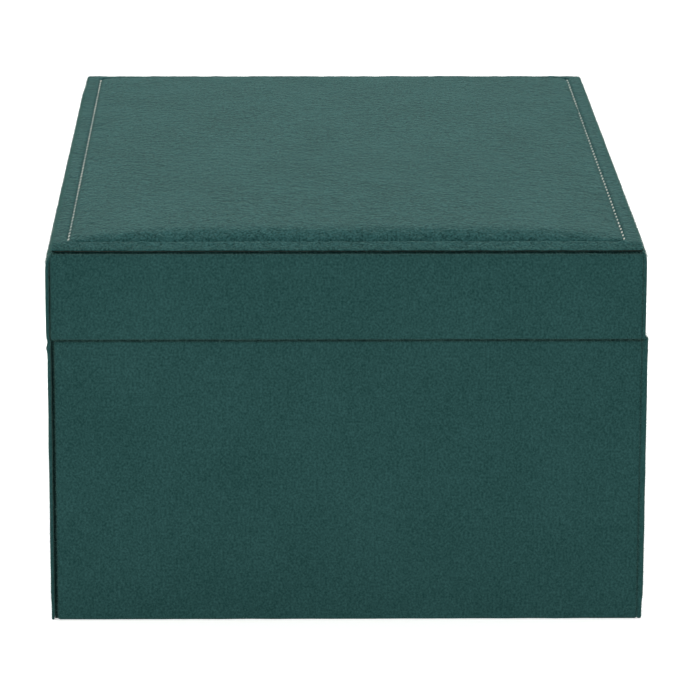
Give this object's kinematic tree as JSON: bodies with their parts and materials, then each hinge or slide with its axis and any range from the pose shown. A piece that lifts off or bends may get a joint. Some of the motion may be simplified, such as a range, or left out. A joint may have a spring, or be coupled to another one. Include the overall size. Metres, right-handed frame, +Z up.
{
  "type": "travel jewelry case",
  "caption": "Small rectangular cloth-wrapped jewelry case with a hinged lid, padded stitched top, mirror, lift-out tray with ring rolls, and storage below.",
  "frame": {"origin": "middle of the underside of the closed case", "axes": "+Z up, the front faces -Y, the hinge is along the back at +Y, and X runs along the length"},
  "size_m": [0.1906, 0.127, 0.0837],
  "materials": {
    "velvet": "short-pile cotton velvet glued over card, soft edges",
    "panel_velvet": "short-pile velvet with its nap laid crosswise, hemmed and topstitched near the edge in beige thread",
    "lining_suede": "matt faux suede glued over card",
    "greyboard": "grey bookbinder's board, hidden inside the wrap",
    "foam": "thin open foam under the padded top",
    "satin_ribbon": "narrow satin ribbon",
    "nickel": "nickel-plated magnet",
    "mirror": "silvered glass"
  },
  "bodies": {
    "base": {"base_bottom_cover": "velvet", "base_front_cover": "velvet", "base_back_cover": "velvet", "base_left_cover": "velvet", "base_right_cover": "velvet", "hinge_cloth": "velvet", "base_front_lining": "lining_suede", "base_back_lining": "lining_suede", "base_left_lining": "lining_suede", "base_right_lining": "lining_suede", "base_ledge_front": "lining_suede", "base_ledge_back": "lining_suede", "base_floor_pad": "lining_suede", "base_divider_long": "lining_suede", "base_divider_left": "lining_suede", "base_divider_right": "lining_suede", "base_floor_board": "greyboard", "base_front_wall": "greyboard", "base_back_wall": "greyboard", "base_left_wall": "greyboard", "base_right_wall": "greyboard", "base_magnet": "nickel", "stay_ribbon_left": "satin_ribbon", "stay_ribbon_right": "satin_ribbon"},
    "lid": {"lid_front_cover": "velvet", "lid_back_cover": "velvet", "lid_left_cover": "velvet", "lid_right_cover": "velvet", "lid_top_cover": "panel_velvet", "lid_front_lining": "lining_suede", "lid_back_lining": "lining_suede", "lid_left_lining": "lining_suede", "lid_right_lining": "lining_suede", "lid_ceiling": "lining_suede", "mirror_frame": "lining_suede", "lid_front_rim": "greyboard", "lid_back_rim": "greyboard", "lid_left_rim": "greyboard", "lid_right_rim": "greyboard", "lid_top_board": "greyboard", "lid_top_foam": "foam", "lid_magnet": "nickel", "mirror_glass": "mirror"},
    "tray": {"tray_floor": "lining_suede", "tray_front_wall": "lining_suede", "tray_back_wall": "lining_suede", "tray_left_wall": "lining_suede", "tray_right_wall": "lining_suede", "tray_divider_long": "lining_suede", "tray_divider_left": "lining_suede", "tray_divider_right": "lining_suede", "tray_divider_rings": "lining_suede", "ring_roll_1": "lining_suede", "ring_roll_2": "lining_suede", "ring_roll_3": "lining_suede", "ring_roll_4": "lining_suede", "ring_roll_5": "lining_suede", "tray_pull_left": "satin_ribbon", "tray_pull_right": "satin_ribbon"}
  },
  "joints": [
    {"name": "lid_hinge", "type": "hinge", "parent": "base", "child": "lid", "pos_m": [0, 0.0635, 0.0618], "axis": [-1, 0, 0], "range_deg": [0, 100], "deforming": ["hinge_cloth", "stay_ribbon_left", "stay_ribbon_right"]},
    {"name": "tray_lift", "type": "slide", "parent": "base", "child": "tray", "axis": [0, 0, 1], "range_m": [0, 0.0165]}
  ]
}
